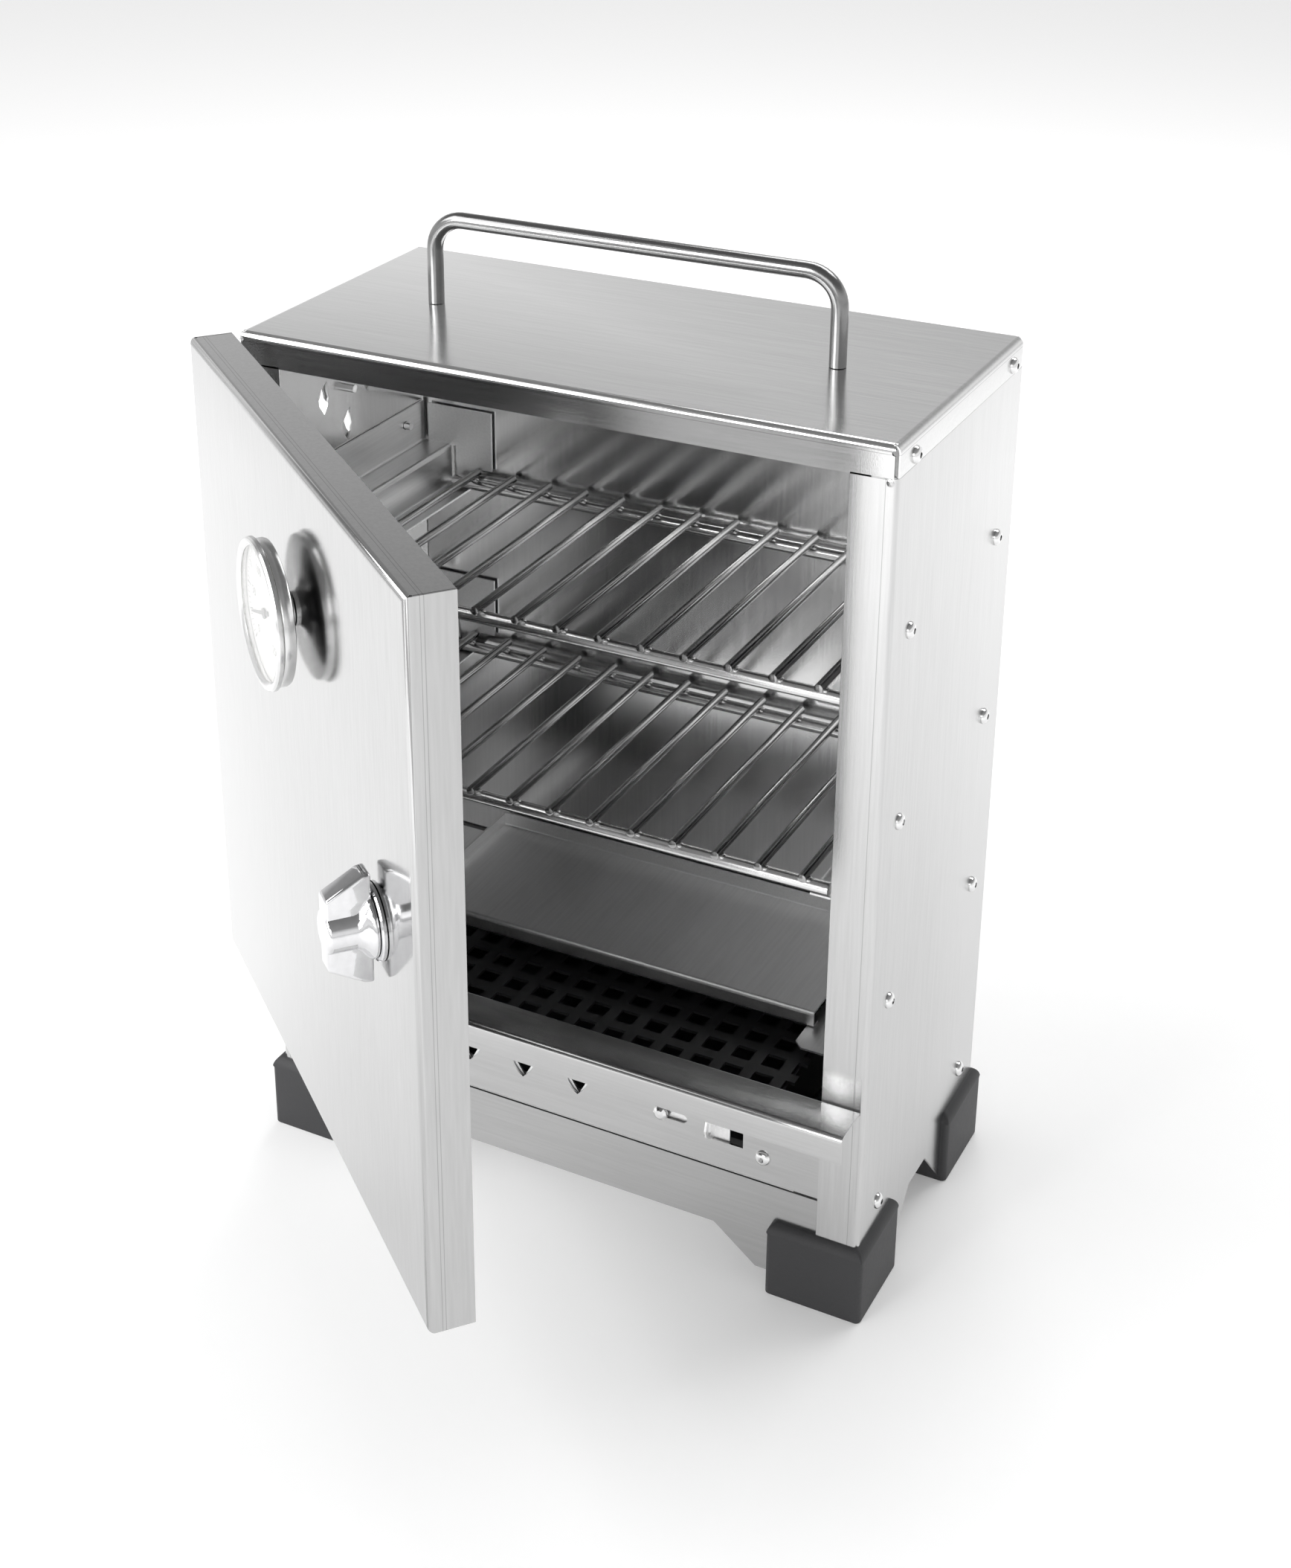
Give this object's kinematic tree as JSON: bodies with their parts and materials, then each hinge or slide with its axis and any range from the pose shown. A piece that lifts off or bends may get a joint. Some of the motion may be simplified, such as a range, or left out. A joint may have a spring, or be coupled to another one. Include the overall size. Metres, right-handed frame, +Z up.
{
  "type": "cabinet smoker",
  "caption": "Compact table-top cabinet smoker of folded stainless sheet, with a hinged door, latch knob, wire racks, fire grate, air slider, damper and rubber corner boots.",
  "frame": {"origin": "on the floor, at the middle of the footprint of the whole object with the door open as stored", "axes": "+Z up, +X to the right of someone facing the front, +Y from the front to the back"},
  "size_m": [0.3205, 0.3558, 0.4582],
  "materials": {
    "cabinet_steel": "semi-polished sheet",
    "inner_steel": "mill-finish sheet",
    "rod_steel": "drawn round rod",
    "screw_steel": "bright",
    "knob_chrome": "polished plating",
    "gauge_steel": "turned and polished",
    "boot_rubber": "fine-grained moulding",
    "black_steel": "black heat-proof coat",
    "dial_card": "printed white dial",
    "gauge_glass": "clear",
    "needle_black": "black"
  },
  "bodies": {
    "cabinet": {"lid": "cabinet_steel", "carry_handle": "rod_steel", "left_side_panel": "cabinet_steel", "right_side_panel": "cabinet_steel", "back_panel": "cabinet_steel", "front_vent_plate": "cabinet_steel", "front_skirt": "cabinet_steel", "base_floor": "inner_steel", "right_screw_01": "screw_steel", "right_screw_02": "screw_steel", "right_screw_03": "screw_steel", "right_screw_04": "screw_steel", "right_screw_05": "screw_steel", "right_screw_06": "screw_steel", "right_screw_07": "screw_steel", "right_screw_08": "screw_steel", "right_screw_09": "screw_steel", "right_screw_10": "screw_steel", "plate_screw_left": "screw_steel", "plate_screw_right": "screw_steel", "boot_front_left": "boot_rubber", "boot_front_right": "boot_rubber", "boot_rear_left": "boot_rubber", "boot_rear_right": "boot_rubber", "upper_rack": "rod_steel", "lower_rack": "rod_steel", "upper_rail_left": "inner_steel", "upper_rail_right": "inner_steel", "lower_rail_left": "inner_steel", "lower_rail_right": "inner_steel", "left_tray_bracket": "inner_steel", "right_tray_bracket": "inner_steel", "drip_tray": "inner_steel", "fire_grate": "black_steel", "fire_pan": "black_steel", "hinge_lower_cabinet_leaf": "inner_steel", "hinge_upper_cabinet_leaf": "inner_steel", "hinge_lower_pin": "screw_steel", "hinge_upper_pin": "screw_steel", "damper_pivot": "screw_steel"},
    "door": {"door": "cabinet_steel", "hinge_lower_door_leaf": "inner_steel", "hinge_upper_door_leaf": "inner_steel", "thermometer_case": "gauge_steel", "thermometer_bezel": "gauge_steel", "thermometer_dial": "dial_card", "thermometer_glass": "gauge_glass", "thermometer_probe": "gauge_steel", "thermometer_nut": "inner_steel", "latch_collar": "knob_chrome"},
    "latch": {"latch_knob": "knob_chrome", "latch_shaft": "knob_chrome", "latch_cam": "inner_steel", "latch_nut": "inner_steel"},
    "needle": {"thermometer_pointer": "needle_black"},
    "air_slider": {"air_slider": "inner_steel", "slider_screw_1": "screw_steel", "slider_screw_2": "screw_steel"},
    "smoke_damper": {"smoke_damper": "inner_steel"}
  },
  "joints": [
    {"name": "door_hinge", "type": "hinge", "parent": "cabinet", "child": "door", "pos_m": [-0.15102, 0.02455, 0.26], "axis": [0, 0, 1], "range_deg": [-135, 39.8]},
    {"name": "latch_turn", "type": "hinge", "parent": "door", "child": "latch", "pos_m": [0.02768, -0.14919, 0.266], "axis": [-0.6401, -0.7683, 0], "range_deg": [0, 90]},
    {"name": "needle_turn", "type": "hinge", "parent": "door", "child": "needle", "pos_m": [-0.04708, -0.08691, 0.35], "axis": [-0.6401, -0.7683, 0], "range_deg": [-245, 25]},
    {"name": "air_slide", "type": "slide", "parent": "cabinet", "child": "air_slider", "axis": [1, 0, 0], "range_m": [0, 0.013]},
    {"name": "damper_turn", "type": "hinge", "parent": "cabinet", "child": "smoke_damper", "pos_m": [-0.14782, 0.10345, 0.3648], "axis": [1, 0, 0], "range_deg": [-12, 33]}
  ]
}
